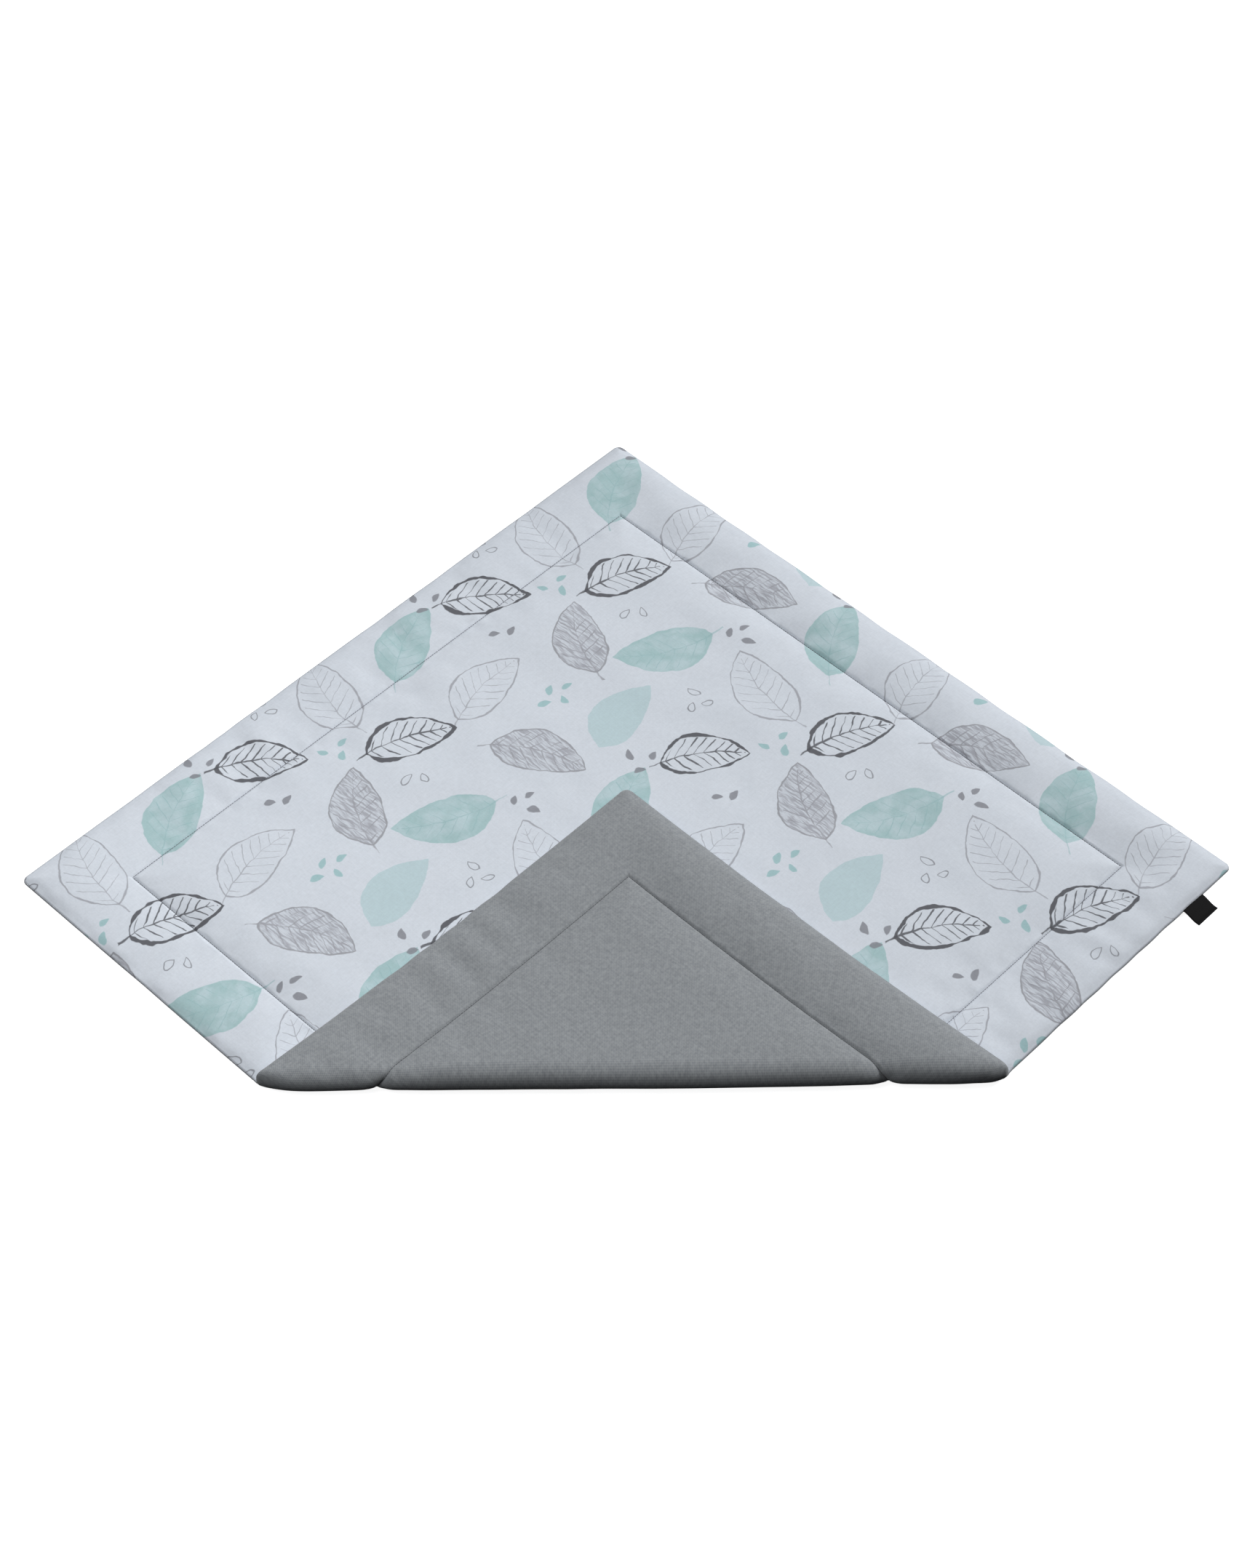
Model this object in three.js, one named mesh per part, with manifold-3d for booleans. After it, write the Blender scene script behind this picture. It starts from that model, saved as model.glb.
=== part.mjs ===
// A square padded play mat, lying flat with one corner folded over onto its upper side.
// It is two cloth panels sewn together round their edges, print above and plain backing below,
// each with its half of the padding, and quilted by one stitched square set in from the edge.
// A folded ribbon tab is caught in the edge seam.
// Millimetres, +Z up. The origin is the middle of the bounding box, on the floor. +Y runs from
// the folded front corner to the back corner, and +X to the right-hand corner.
import * as THREE from 'three';
import { mergeVertices } from 'three/addons/utils/BufferGeometryUtils.js';
import Module from 'manifold-3d';

const wasm = await Module();
wasm.setup();

// Driving dimensions of the mat as it is sewn
const side = 1200;             // edge to edge
const cornerRadius = 10;
const stitchInset = 110;       // the stitched square, in from the edge
const panelGap = 0.3;          // between the two panels

// Heights above the surface that the mat lies on
const seamLevel = 9;           // the level between the two panels, where the padding is full
const borderHeight = 16.5;     // top of the padded border
const middleHeight = 20.5;     // top of the padded middle
const edge = { low: 5.4, mid: 7, high: 8.6 };      // backing, seam and print at the outer edge
const stitch = { low: 2.5, mid: 7, high: 11 };     // the same at the stitched line

// How far the padding takes to fill out from the edge and from the stitched line. A share of the
// rise from the edge is a rim, which is straight and then flattens out.
const edgeReach = 60;
const rim = { share: 0.34, straight: 7, reach: 19 };
const edgeReachLow = 14;
const borderReach = 72;
const middleReach = 70;
const stitchReachLow = 20;
const midReach = 26;

// How much fuller each border is away from its corners, where it lies flat and on the flap. Sides
// run left-back, right-back, right-front and left-front.
const fuller = [
  { flat: -1, flap: 0 },
  { flat: 5, flap: 0 },
  { flat: 2, flap: 4.5 },
  { flat: -2, flap: 0 },
];
const fullerReach = 100;

// The fold: a soft roll, from which the flap sinks a little to lie on the print. It is folded on
// the bias of the cloth, so the flap is stretched, and it is widest at the fold.
const foldStart = -341;        // where the roll begins, from the middle of the mat
const rollDepth = 18;          // how far the seam level goes forward round the roll
const flapGap = 1;             // between the flap and the print under it
const rollCrown = 2;           // how much higher the flap is at the roll than where it lies
const settleLength = 90;
const biasStretch = 1.041;
const flare = 30;              // how much wider the flap is at each end of the fold
const rollSteps = 10;

// Where the roll stands out or draws in, along the fold
const lobes = [
  { at: -505, width: 34, out: -10 },
  { at: -425, width: 50, out: 1 },
  { at: 90, width: 170, out: 2 },
  { at: 502, width: 18, out: -6 },
];

// Soft creases across the border, whose along is counted clockwise from the middle of the side
const creases = [
  { side: 0, along: -400, width: 34, depth: 1.2 },
  { side: 0, along: -259, width: 18, depth: 1.8 },
  { side: 0, along: -221, width: 16, depth: 1.8 },
  { side: 0, along: -137, width: 26, depth: 2.2 },
  { side: 0, along: 78, width: 26, depth: 2.2 },
  { side: 0, along: 199, width: 28, depth: 2.0 },
  { side: 0, along: 400, width: 34, depth: 1.3 },
  { side: 1, along: -465, width: 30, depth: 3.4 },
  { side: 1, along: -372, width: 32, depth: 3.6 },
  { side: 1, along: -280, width: 28, depth: 2.6 },
  { side: 1, along: -165, width: 30, depth: 3.0 },
  { side: 1, along: -50, width: 34, depth: 3.8 },
  { side: 1, along: 72, width: 28, depth: 2.6 },
  { side: 1, along: 180, width: 34, depth: 3.6 },
  { side: 1, along: 318, width: 36, depth: 4.2 },
  { side: 1, along: 436, width: 28, depth: 2.8 },
  { side: 2, along: -500, width: 17, depth: 2.0 },
  { side: 2, along: -447, width: 18, depth: 2.8 },
  { side: 2, along: -388, width: 17, depth: 2.2 },
  { side: 2, along: -334, width: 21, depth: 3.0 },
  { side: 2, along: -276, width: 18, depth: 2.4 },
  { side: 2, along: -218, width: 21, depth: 2.6 },
  { side: 2, along: 190, width: 34, depth: 1.6 },
  { side: 2, along: 360, width: 40, depth: 1.2 },
  { side: 3, along: -346, width: 19, depth: 3.4 },
  { side: 3, along: -281, width: 17, depth: 3.8 },
  { side: 3, along: -231, width: 17, depth: 3.8 },
  { side: 3, along: -176, width: 19, depth: 3.2 },
  { side: 3, along: 340, width: 36, depth: 1.4 },
];

// The ribbon tab in the right-front seam
const tab = { side: 2, along: -512, width: 42, out: 28, inside: 6, ply: 0.45, apart: 0.3 };
const tabClearance = 0.3;

// Rings of the surface mesh, as distances in from the edge, and its steps along each side
const outerRings = [0, 1.5, 4.5, 9, 14, 20, 36, 56, 76, 94, stitchInset, 122, 138, 156, 182];
const innerRings = [0, 12, 26, 92, stitchInset, 128];
const sideSteps = 20;
const snap = 0.6;

const half = side / 2;
const clamp01 = (x) => Math.min(Math.max(x, 0), 1);
const round = (x) => Math.sqrt(1 - (1 - clamp01(x)) ** 2);     // fills out like a round edge
const ease = (x) => 1 - (1 - clamp01(x)) ** 2;                 // fills out like a soft slope
const smooth = (x) => clamp01(x) ** 2 * (3 - 2 * clamp01(x));
const bell = (x) => Math.exp(-x * x);

// From 0 to 1: rises straight, then flattens out until its reach
function slopeUp(x, { straight, reach }) {
  const over = reach - straight;
  const risen = clamp01(x / straight) * straight + over / 2 * ease((x - straight) / over);
  return risen / (straight + over / 2);
}

// Outward and clockwise directions of the four sides, in the plane of the cloth
const diagonal = Math.SQRT1_2;
const sides = [
  { out: [-diagonal, diagonal], along: [diagonal, diagonal] },
  { out: [diagonal, diagonal], along: [diagonal, -diagonal] },
  { out: [diagonal, -diagonal], along: [-diagonal, -diagonal] },
  { out: [-diagonal, -diagonal], along: [-diagonal, diagonal] },
];
const dot = (a, b) => a[0] * b[0] + a[1] * b[1];

// A point of the cloth from its side, its place along that side and its distance in from the edge
function clothPoint(k, along, inset) {
  const { out, along: way } = sides[k];
  return [0, 1].map((i) => out[i] * (half - inset) + way[i] * along);
}

// Which side a point of the cloth is nearest to, how far along it, and how far in
function locate(point) {
  const reach = sides.map(({ out }) => dot(point, out));
  const k = reach.indexOf(Math.max(...reach));
  return { k, inset: half - reach[k], along: dot(point, sides[k].along) };
}

// How deep the creases are at a place in the border
function creaseDepth({ k, inset, along }) {
  const across = Math.sin(Math.PI * clamp01((inset + 14) / (stitchInset + 14))) ** 0.7;
  return creases.filter((c) => c.side === k)
    .reduce((sum, c) => sum + c.depth * across * bell((along - c.along) / c.width), 0);
}

// The padded section, as heights above the surface that the cloth lies on. Flat is 1 where it
// lies flat and 0 on the flap.
function section(place, flat = 1) {
  const { k, inset, along } = place;
  const inBorder = inset < stitchInset;
  const fromStitch = Math.abs(inset - stitchInset);
  const more = (flat * fuller[k].flat + (1 - flat) * fuller[k].flap)
    * smooth((half - inset - Math.abs(along)) / fullerReach);
  const full = inBorder ? borderHeight + more - creaseDepth(place) : middleHeight;
  const edgeFill = 1 - rim.share * slopeUp(inset, rim) - (1 - rim.share) * ease(inset / edgeReach);
  const stitchFill = 1 - ease(fromStitch / (inBorder ? borderReach : middleReach));
  return {
    high: full - (full - edge.high) * edgeFill - (full - stitch.high) * stitchFill,
    mid: seamLevel - (seamLevel - edge.mid) * (1 - smooth(inset / midReach))
      - (seamLevel - stitch.mid) * (1 - smooth(fromStitch / stitchReachLow)),
    low: edge.low * (1 - round(inset / edgeReachLow))
      + stitch.low * (1 - ease(fromStitch / stitchReachLow)),
  };
}

// Rounded corners, and the edge drawn in a little at each crease
function outline(point) {
  const place = locate(point);
  const { out, along: way } = sides[place.k];
  const inward = 0.8 * creaseDepth({ ...place, inset: 0 }) * (1 - clamp01(place.inset / 60));
  let u = half - place.inset;
  let v = place.along;
  const start = half - cornerRadius;
  const a = u - start;
  const b = Math.abs(v) - start;
  if (a > 0 && b > 0) {
    const shrink = Math.max(a, b) / Math.hypot(a, b);
    u = start + a * shrink;
    v = Math.sign(v) * (start + b * shrink);
  }
  return [0, 1].map((i) => out[i] * (u - inward) + way[i] * v);
}

// The section of the fold at the seam level: half an ellipse, then the flap going back over the mat
const rollRise = (middleHeight + flapGap + rollCrown) / 2;
const turnLength = Math.PI * Math.hypot(rollDepth, rollRise) * Math.SQRT1_2;
const flapHalfWidth = half * Math.SQRT2 + foldStart - turnLength;

// Where the seam level lies at a length of cloth past the start of the fold, and which way it faces
function foldPath(length) {
  const angle = Math.PI * clamp01(length / turnLength);
  const back = Math.max(length - turnLength, 0);
  const settled = 0.5 - 0.5 * Math.cos(Math.PI * clamp01(back / settleLength));
  return {
    y: foldStart - Math.min(length, 0) - rollDepth * Math.sin(angle) + biasStretch * back,
    z: seamLevel + rollRise * (1 - Math.cos(angle)) - rollCrown * settled,
    turn: Math.atan2(rollRise * Math.sin(angle), rollDepth * Math.cos(angle)),
    folded: smooth(length / turnLength),
  };
}

// A point of the cloth, offset from its seam level towards the print, where it lies in the mat
function lay(point, offset) {
  const [x, q] = point;
  const { y, z, turn, folded } = foldPath(foldStart - q);
  const wider = Math.sign(x) * flare * (x / flapHalfWidth) ** 2 * folded;
  const bulge = Math.sin(turn) * lobes.reduce((sum, l) => sum + l.out * bell((x - l.at) / l.width), 0);
  return new THREE.Vector3(
    x + wider, y + offset * Math.sin(turn) - bulge, z + offset * Math.cos(turn));
}

// Offsets of the three surfaces from the seam level. The side that faces up has the crown,
// and the side that faces down is flat, so they change over as the cloth turns.
function offsets(point) {
  const up = Math.cos(foldPath(foldStart - point[1]).turn);
  const mix = (1 + up) / 2;
  const { high, mid, low } = section(locate(point), mix);
  return {
    print: mix * (high - seamLevel) + (1 - mix) * (seamLevel - low),
    seam: up * (mid - seamLevel),
    backing: mix * (low - seamLevel) + (1 - mix) * (seamLevel - high),
  };
}

// Lines across the cloth where the fold bends it
const bends = [
  ...Array.from({ length: rollSteps + 1 }, (_, i) => foldStart - turnLength * i / rollSteps),
  ...[1, 2, 3].map((i) => foldStart - turnLength - settleLength * i / 3),
];

// The square as convex cells between rings and spokes, cut where it bends, all sharing corners
function clothCells(rings) {
  const points = [];
  const addPoint = (p, q) => {
    const bend = bends.find((b) => Math.abs(q - b) < snap);
    return points.push([p, bend ?? q]) - 1;
  };
  const cornerStep = 1 - cornerRadius / half;
  const steps = Array.from({ length: sideSteps + 1 }, (_, i) => 2 * i / sideSteps - 1);
  steps.splice(1, 0, -cornerStep);
  steps.splice(-1, 1, cornerStep);
  const loops = rings.map((inset) => sides.flatMap((_, k) =>
    steps.map((f) => addPoint(...clothPoint(k, f * (half - inset), inset)))));
  const count = loops[0].length;
  let cells = [loops.at(-1)];
  for (let r = 0; r + 1 < loops.length; r++)
    for (let j = 0; j < count; j++) {
      const next = (j + 1) % count;
      cells.push([loops[r][j], loops[r][next], loops[r + 1][next], loops[r + 1][j]]);
    }
  for (const bend of bends) {
    const crossings = new Map();
    const crossing = (a, b) => {
      const key = Math.min(a, b) + ' ' + Math.max(a, b);
      if (!crossings.has(key)) {
        const [p, q] = [points[Math.min(a, b)], points[Math.max(a, b)]];
        const t = (bend - p[1]) / (q[1] - p[1]);
        crossings.set(key, points.push([p[0] + t * (q[0] - p[0]), bend]) - 1);
      }
      return crossings.get(key);
    };
    cells = cells.flatMap((cell) => {
      const above = [];
      const below = [];
      cell.forEach((a, i) => {
        const b = cell[(i + 1) % cell.length];
        const [from, to] = [points[a][1] - bend, points[b][1] - bend];
        if (from >= 0) above.push(a);
        if (from <= 0) below.push(a);
        if (from * to < 0) {
          const c = crossing(a, b);
          above.push(c);
          below.push(c);
        }
      });
      return [above, below].filter((part) => part.some((i) => points[i][1] !== bend));
    });
  }
  return { points, cells };
}

// Triangles of convex cells, anticlockwise seen from the print side
function triangulate({ points, cells }) {
  const area = (a, b, c) =>
    (points[b][0] - points[a][0]) * (points[c][1] - points[a][1]) -
    (points[c][0] - points[a][0]) * (points[b][1] - points[a][1]);
  const triangles = [];
  for (const cell of cells.map((c) => [...c].reverse())) {
    const n = cell.length;
    if (n === 3) triangles.push(cell);
    else if (n === 4) {
      const splits = [0, 1].map((s) =>
        [[cell[s], cell[s + 1], cell[s + 2]], [cell[s], cell[s + 2], cell[(s + 3) % 4]]]);
      const least = splits.map((two) => Math.min(...two.map((t) => area(...t))));
      triangles.push(...splits[least[0] >= least[1] ? 0 : 1]);
    } else {
      const middle = [0, 1].map((i) => cell.reduce((sum, v) => sum + points[v][i], 0) / n);
      const hub = points.push(middle) - 1;
      cell.forEach((v, i) => triangles.push([hub, v, cell[(i + 1) % n]]));
    }
  }
  return triangles;
}

// A panel with its padding: the outer surface, the surface at the seam, and the rim between them
function panelGeometry(faceOffset, seamOffset) {
  const positions = [];
  const rims = [new Map(), new Map()];
  const put = (...corners) => corners.forEach((v) => positions.push(v.x, v.y, v.z));
  const printUp = faceOffset({ print: 1, backing: -1 }) > 0;
  [[outerRings, faceOffset, printUp], [innerRings, seamOffset, !printUp]].forEach(
    ([rings, offset, up], layer) => {
      const cloth = clothCells(rings);
      const triangles = triangulate(cloth);
      const laid = cloth.points.map((p) => lay(outline(p), offset(offsets(p))));
      triangles.forEach(([a, b, c]) => put(...(up ? [a, b, c] : [a, c, b]).map((i) => laid[i])));
      cloth.points.forEach((p, i) => {
        if (half - Math.max(...sides.map(({ out }) => dot(p, out))) < snap)
          rims[layer].set(Math.atan2(p[1], p[0]).toFixed(6), laid[i]);
      });
    });
  const angles = [...rims[0].keys()].sort((a, b) => a - b);
  angles.forEach((angle, i) => {
    const next = angles[(i + 1) % angles.length];
    const [a, b] = [rims[0].get(angle), rims[0].get(next)];
    const [c, d] = [rims[1].get(next), rims[1].get(angle)];
    if (printUp) put(a, c, b, a, d, c);
    else put(a, b, c, a, c, d);
  });
  return closedGeometry(positions);
}

function closedGeometry(positions) {
  const loose = new THREE.BufferGeometry()
    .setAttribute('position', new THREE.Float32BufferAttribute(positions, 3));
  return mergeVertices(loose, 1e-3);
}

// The tab's own frame: x out from the seam, y along it, z up
function tabFrame() {
  const { out, along } = sides[tab.side];
  const [x, y] = clothPoint(tab.side, tab.along, 0);
  return new THREE.Matrix4().makeBasis(
    new THREE.Vector3(...out, 0), new THREE.Vector3(-along[0], -along[1], 0),
    new THREE.Vector3(0, 0, 1)).setPosition(x, y, 0);
}

// Height of the tab's middle: in the seam it follows the two panels, and outside it sinks to the floor
function tabHeight(x) {
  if (x < 0) return section({ k: tab.side, along: tab.along, inset: -x }).mid;
  const resting = tab.ply + tab.apart / 2 + 0.2;
  return edge.mid + (resting - edge.mid) * smooth(x / (tab.out * 0.85));
}

// A strip round the tab's middle line from one place to another, closed with a round end outside
function tabSection(from, to, thickness) {
  const steps = 12;
  const ends = 5;
  const line = Array.from({ length: steps + 1 }, (_, i) => from + (to - from) * i / steps);
  const upper = line.map((x) => [x, tabHeight(x) + thickness]);
  const lower = line.map((x) => [x, tabHeight(x) - thickness]).reverse();
  const end = Array.from({ length: ends }, (_, i) => {
    const turn = Math.PI * (0.5 - (i + 1) / (ends + 1));
    return [to + thickness * Math.cos(turn), tabHeight(to) + thickness * Math.sin(turn)];
  });
  return { upper, end, lower };
}

function extrudeSection(outlinePoints, width) {
  const shape = new THREE.Shape(outlinePoints.map(([x, z]) => new THREE.Vector2(x, z)));
  const geometry = new THREE.ExtrudeGeometry(shape, { depth: width, bevelEnabled: false });
  return geometry.translate(0, 0, -width / 2).rotateX(Math.PI / 2).applyMatrix4(tabFrame());
}

// The ribbon goes out along the top, round the end and back underneath, with its plies a little apart
function tabGeometry() {
  const outer = tabSection(-tab.inside, tab.out, tab.ply + tab.apart / 2);
  const inner = tabSection(-tab.inside, tab.out, tab.apart / 2);
  const ring = [...outer.upper, ...outer.end, ...outer.lower,
    ...inner.lower.reverse(), ...inner.end.reverse(), ...inner.upper.reverse()];
  return extrudeSection(ring, tab.width);
}

// The room that the tab takes between the panels
function tabPocket() {
  const room = tabSection(-tab.inside - tabClearance, 4, tab.ply + tab.apart / 2 + tabClearance);
  return extrudeSection([...room.upper, ...room.lower], tab.width + 2 * tabClearance);
}

function toSolid(geometry) {
  const bare = geometry.clone();
  bare.deleteAttribute('normal');
  bare.deleteAttribute('uv');
  const merged = mergeVertices(bare, 1e-3);
  return new wasm.Manifold(new wasm.Mesh({
    numProp: 3,
    vertProperties: merged.attributes.position.array,
    triVerts: new Uint32Array(merged.index.array),
  }));
}

function toGeometry(solid) {
  const mesh = solid.getMesh();
  const geometry = new THREE.BufferGeometry()
    .setAttribute('position', new THREE.Float32BufferAttribute(mesh.vertProperties, 3));
  geometry.setIndex(new THREE.BufferAttribute(mesh.triVerts, 1));
  geometry.computeVertexNormals();
  return geometry;
}

const printCloth = new THREE.MeshStandardMaterial({ color: 0xd3d8e1, roughness: 0.9, metalness: 0 });
const greyCloth = new THREE.MeshStandardMaterial({ color: 0x8b8f92, roughness: 0.92, metalness: 0 });
const blackRibbon = new THREE.MeshStandardMaterial({ color: 0x151515, roughness: 0.7, metalness: 0 });

function namedMesh(name, geometry, material) {
  const mesh = new THREE.Mesh(geometry, material);
  mesh.name = name;
  return mesh;
}

const pocket = toSolid(tabPocket());
const printPanel = toSolid(panelGeometry((o) => o.print, (o) => o.seam + panelGap / 2));
const backPanel = toSolid(panelGeometry((o) => o.backing, (o) => o.seam - panelGap / 2));

const mat = new THREE.Group();
mat.add(namedMesh('print_panel', toGeometry(printPanel.subtract(pocket)), printCloth));
mat.add(namedMesh('backing_panel', toGeometry(backPanel.subtract(pocket)), greyCloth));
mat.add(namedMesh('ribbon_tab', tabGeometry(), blackRibbon));

// The origin goes to the middle of the mat's footprint
const box = new THREE.Box3().setFromObject(mat);
const middle = box.getCenter(new THREE.Vector3());
mat.position.set(-middle.x, -middle.y, -box.min.z);

export default mat;
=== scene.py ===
import math

import bmesh
import bpy
from mathutils import Matrix, Vector, noise


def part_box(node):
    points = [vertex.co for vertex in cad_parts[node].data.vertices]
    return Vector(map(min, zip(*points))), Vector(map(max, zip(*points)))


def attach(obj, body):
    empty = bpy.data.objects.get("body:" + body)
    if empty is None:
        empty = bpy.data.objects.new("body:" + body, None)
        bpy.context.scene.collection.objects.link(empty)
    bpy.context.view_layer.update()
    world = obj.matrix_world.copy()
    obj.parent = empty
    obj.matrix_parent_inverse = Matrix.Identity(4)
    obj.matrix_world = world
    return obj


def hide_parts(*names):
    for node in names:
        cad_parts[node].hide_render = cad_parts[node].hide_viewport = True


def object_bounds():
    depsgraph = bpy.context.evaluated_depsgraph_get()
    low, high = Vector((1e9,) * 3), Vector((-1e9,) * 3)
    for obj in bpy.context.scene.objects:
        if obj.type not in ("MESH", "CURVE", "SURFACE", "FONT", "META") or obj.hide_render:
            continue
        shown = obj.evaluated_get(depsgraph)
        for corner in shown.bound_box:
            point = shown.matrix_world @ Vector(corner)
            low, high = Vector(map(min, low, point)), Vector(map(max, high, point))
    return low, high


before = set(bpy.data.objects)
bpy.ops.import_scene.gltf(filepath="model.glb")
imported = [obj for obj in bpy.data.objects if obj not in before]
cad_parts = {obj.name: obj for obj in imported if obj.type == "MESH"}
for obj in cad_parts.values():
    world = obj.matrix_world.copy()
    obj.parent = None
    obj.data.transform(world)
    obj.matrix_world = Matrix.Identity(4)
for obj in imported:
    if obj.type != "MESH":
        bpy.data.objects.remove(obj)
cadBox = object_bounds()
print("stage: frame loaded")

# Metres throughout. The mat lies with its back corner at +Y, its right corner at +X, and its
# front corner folded over. Cloth places are (a, b): a grows to the right-back side of the square
# and b to its left-back side, both from the middle of the mat.
diagonal = math.sqrt(0.5)


def clamp01(x):
    return min(max(x, 0.0), 1.0)


def roundUp(x):  # fills out like a round edge
    return math.sqrt(1 - (1 - clamp01(x)) ** 2)


def ease(x):  # fills out like a soft slope
    return 1 - (1 - clamp01(x)) ** 2


def smooth(x):
    return clamp01(x) ** 2 * (3 - 2 * clamp01(x))


def slopeUp(x, straight, reach):  # rises straight, then flattens out until its reach
    over = reach - straight
    risen = clamp01(x / straight) * straight + over / 2 * ease((x - straight) / over)
    return risen / (straight + over / 2)


def bell(x):
    return math.exp(-x * x)


# The square as it is sewn, and its padded section above the floor
mat = {
    "half": 0.6,
    "cornerRadius": 0.010,
    "stitchInset": 0.110,
    "seamLevel": 0.009,  # between the two cloths, where the padding is full
    "borderHeight": 0.0165,
    "middleHeight": 0.0205,
    "edgeLow": 0.0064,
    "edgeMid": 0.0070,
    "edgeHigh": 0.0076,
    "stitchLow": 0.0025,
    "stitchHigh": 0.0120,
    "pinch": 0.0022,  # the sharp line that the stitches draw in, in the softer hollow beside them
    "pinchReach": 0.0046,
    "rimShare": 0.34,  # how much of the edge's rise is in its steep rim
    "rimStraight": 0.007,
    "rimReach": 0.019,
    "edgeReach": 0.060,
    "edgeReachLow": 0.014,
    "backingProud": 0.0008,  # how far the backing shows past the print, at the seam
    "proudReach": 0.010,
    "borderReach": 0.072,
    "middleReach": 0.070,
    "stitchReachLow": 0.020,
    "looseFromEdge": 0.010,  # where the cloth is free to gather
    "looseFromStitch": 0.006,
    # how much fuller each side's border is, flat and on the flap, and how far from the corners
    "fuller": [(-0.0010, 0.0), (0.0050, 0.0), (0.0020, 0.0045), (-0.0020, 0.0)],
    "fullerReach": 0.10,
}
half = mat["half"]
# The middle of the flat square, from its back corner in the CAD, which is rounded
matCentre = Vector((0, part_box("print_panel")[1].y, 0)) - Vector(
    (0, half / diagonal - mat["cornerRadius"] * (math.sqrt(2) - 1), 0))

# The fold: half an ellipse at the seam level, then the flap, which is stretched on the bias
fold = {
    "start": -0.341,
    "depth": 0.018,
    "flapGap": 0.001,
    "crown": 0.002,
    "settleLength": 0.090,
    "stretch": 1.041,
    "flare": 0.030,
    # where the fold stands further out or back: place along it, width, how far out
    "lobes": [
        (-0.505, 0.034, -0.010),
        (-0.425, 0.050, 0.001),
        (0.090, 0.170, 0.002),
        (0.502, 0.018, -0.006),
    ],
    "notch": 0.0045,  # how much deeper the stitched line draws the backing in, round the roll
    "notchReach": 0.015,
    "steps": 18,
}
foldRise = (mat["middleHeight"] + fold["flapGap"] + fold["crown"]) / 2
turnLength = math.pi * math.hypot(fold["depth"], foldRise) * diagonal
flapHalfWidth = half / diagonal + fold["start"] - turnLength

# Soft creases across the border, on the left-back, right-back, right-front and left-front sides:
# place along the side, clockwise from its middle, width and depth
creases = [
    [(-0.400, 0.034, 0.0012), (-0.259, 0.018, 0.0018), (-0.221, 0.016, 0.0018), (-0.137, 0.026, 0.0022),
     (0.078, 0.026, 0.0022), (0.199, 0.028, 0.0020), (0.400, 0.034, 0.0013)],
    [(-0.465, 0.030, 0.0034), (-0.372, 0.032, 0.0036), (-0.280, 0.028, 0.0026), (-0.165, 0.030, 0.0030),
     (-0.050, 0.034, 0.0038), (0.072, 0.028, 0.0026), (0.180, 0.034, 0.0036), (0.318, 0.036, 0.0042),
     (0.436, 0.028, 0.0028)],
    [(-0.500, 0.017, 0.0020), (-0.447, 0.018, 0.0028), (-0.388, 0.017, 0.0022), (-0.334, 0.021, 0.0030),
     (-0.276, 0.018, 0.0024), (-0.218, 0.021, 0.0026), (0.190, 0.034, 0.0016), (0.360, 0.040, 0.0012)],
    [(-0.346, 0.019, 0.0034), (-0.281, 0.017, 0.0038), (-0.231, 0.017, 0.0038), (-0.176, 0.019, 0.0032),
     (0.340, 0.036, 0.0014)],
]
creaseShape = {
    "pastEdge": 0.014,  # a crease is still open at the edge, and ends at the stitched line
    "bluntness": 0.7,
    "drawsIn": 0.8,  # how much of its depth it draws the edge in
    "drawReach": 0.06,
}

# Fine unevenness of the cloth: how high, how long along the side, where it is most, and its reach
ripples = {
    "edge": {"height": 0.0014, "length": 0.020, "at": 0.008, "reach": 0.016},
    "stitch": {"height": 0.0018, "length": 0.015, "at": 0.006, "reach": 0.013},
    "broad": {"height": 0.0022, "length": 0.110},
    "small": {"height": 0.0008, "length": 0.040},
    "across": 4,  # how many times longer the first two are, across the side
    "cornerCalm": 0.045,
    "edgeCalm": 0.05,
    "stitchCalm": 0.03,
    "sideShift": 9.1,  # where in the noise each side, each face and the last two begin
    "faceShift": 4.3,
    "begin": 3.7,
}


# The side that a place is nearest to, how far in from it, and how far along it from its middle
def locate(a, b):
    reach = (b, a, -b, -a)
    side = reach.index(max(reach))
    return side, half - reach[side], (a, -b, -a, b)[side]


def placeOn(side, along, out):  # out is from the middle of the mat
    return ((along, out), (out, -along), (-along, -out), (-out, along))[side]


def creaseDepth(side, inset, along):
    past = creaseShape["pastEdge"]
    across = math.sin(math.pi * clamp01((inset + past) / (mat["stitchInset"] + past)))
    depths = sum(depth * bell((along - at) / width) for at, width, depth in creases[side])
    return across ** creaseShape["bluntness"] * depths


def unevenness(side, inset, along, a, b, face):
    fade = smooth((half - inset - abs(along)) / ripples["cornerCalm"])
    fromStitch = abs(inset - mat["stitchInset"])
    loose = smooth(fromStitch / mat["looseFromStitch"])
    shift = side * ripples["sideShift"] + face * ripples["faceShift"]
    total = 0.0
    for kind, distance in (("edge", inset), ("stitch", fromStitch)):
        r = ripples[kind]
        across = inset / (ripples["across"] * r["length"])
        wave = noise.noise(Vector((along / r["length"], shift, across)))
        total += fade * r["height"] * wave * bell((distance - r["at"]) / r["reach"]) * loose
    calm = smooth(inset / ripples["edgeCalm"]) * smooth(fromStitch / ripples["stitchCalm"])
    for kind in ("broad", "small"):
        r = ripples[kind]
        wave = noise.noise(Vector((a / r["length"], b / r["length"], ripples["begin"] + face)))
        total += calm * r["height"] * wave
    return total


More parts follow.
